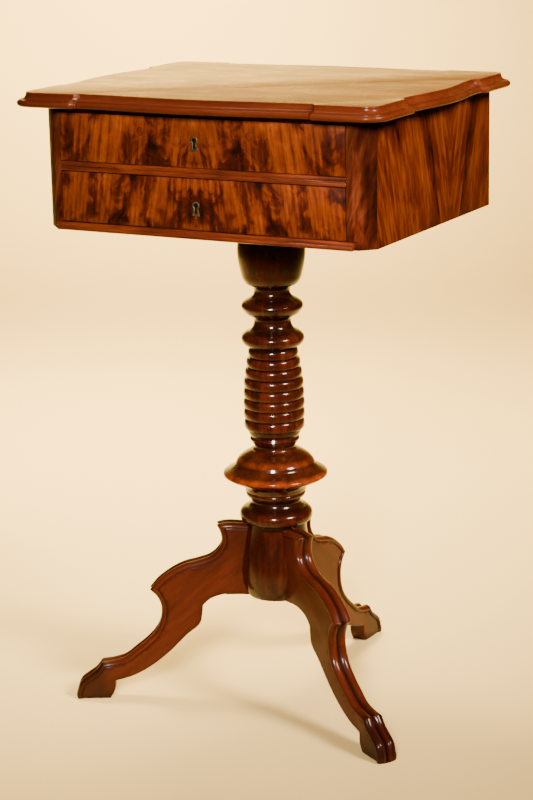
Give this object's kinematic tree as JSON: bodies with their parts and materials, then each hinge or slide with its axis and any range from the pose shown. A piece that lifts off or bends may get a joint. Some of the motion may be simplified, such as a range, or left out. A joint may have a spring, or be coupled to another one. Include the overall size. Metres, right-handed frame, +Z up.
{
  "type": "vintage sewing table",
  "caption": "Sewing table: serpentine-edged top over a canted case with locking drawers, on a ring-turned column with a wide flange and scrolled legs ending in cloven hoof feet.",
  "frame": {"origin": "on the floor, under the middle of the table's plan", "axes": "+Z up; the drawer fronts face -Y and the drawers open towards -Y; +X to the right when facing them"},
  "size_m": [0.4724, 0.4485, 0.76],
  "materials": {
    "polished_top": "french-polished, with fine scratches",
    "flame_veneer": "polished flame-figured veneer",
    "solid_mahogany": "polished, worn at the feet",
    "lining_wood": "bare, planed",
    "brass": "aged",
    "steel": "dull",
    "iron_plate": "blackened"
  },
  "bodies": {
    "frame": {"top_board": "polished_top", "case_side_left": "flame_veneer", "case_side_right": "flame_veneer", "corner_post_left": "flame_veneer", "corner_post_right": "flame_veneer", "case_back": "lining_wood", "case_bottom": "lining_wood", "bottom_rail": "solid_mahogany", "divider_rail": "solid_mahogany", "top_rail": "solid_mahogany", "upper_runner_left": "lining_wood", "upper_runner_right": "lining_wood", "kicker_left": "lining_wood", "kicker_right": "lining_wood", "lower_guide_left": "lining_wood", "lower_guide_right": "lining_wood", "upper_guide_left": "lining_wood", "upper_guide_right": "lining_wood", "lower_stop_left": "lining_wood", "lower_stop_right": "lining_wood", "upper_stop_left": "lining_wood", "upper_stop_right": "lining_wood", "column_bearer": "lining_wood", "column_shaft": "solid_mahogany", "column_flange": "solid_mahogany", "column_base": "solid_mahogany", "leg_back": "solid_mahogany", "leg_left": "solid_mahogany", "leg_right": "solid_mahogany", "tripod_iron": "iron_plate", "iron_screw_centre": "steel", "iron_screw_leg_back": "steel", "iron_screw_leg_left": "steel", "iron_screw_leg_right": "steel", "top_screw_front_left": "steel", "top_screw_front_right": "steel", "top_screw_back_left": "steel", "top_screw_back_right": "steel", "bearer_screw_front_left": "steel", "bearer_screw_front_right": "steel", "bearer_screw_back_left": "steel", "bearer_screw_back_right": "steel"},
    "upper_drawer": {"upper_drawer_front": "flame_veneer", "upper_drawer_side_left": "lining_wood", "upper_drawer_side_right": "lining_wood", "upper_drawer_back": "lining_wood", "upper_drawer_floor": "lining_wood", "upper_keyhole_liner": "brass", "upper_lock_case": "steel", "knob_plug_left": "solid_mahogany", "knob_plug_right": "solid_mahogany"},
    "lower_drawer": {"lower_drawer_front": "flame_veneer", "lower_drawer_side_left": "lining_wood", "lower_drawer_side_right": "lining_wood", "lower_drawer_back": "lining_wood", "lower_drawer_floor": "lining_wood", "lower_keyhole_liner": "brass", "lower_lock_case": "steel"},
    "upper_bolt": {"upper_lock_bolt": "brass"},
    "lower_bolt": {"lower_lock_bolt": "brass"}
  },
  "joints": [
    {"name": "upper_drawer_slide", "type": "slide", "parent": "frame", "child": "upper_drawer", "axis": [0, -1, 0], "range_m": [0, 0.24]},
    {"name": "lower_drawer_slide", "type": "slide", "parent": "frame", "child": "lower_drawer", "axis": [0, -1, 0], "range_m": [0, 0.24]},
    {"name": "upper_lock_bolt_slide", "type": "slide", "parent": "upper_drawer", "child": "upper_bolt", "axis": [0, 0, 1], "range_m": [0, 0.0045]},
    {"name": "lower_lock_bolt_slide", "type": "slide", "parent": "lower_drawer", "child": "lower_bolt", "axis": [0, 0, 1], "range_m": [0, 0.0045]}
  ]
}
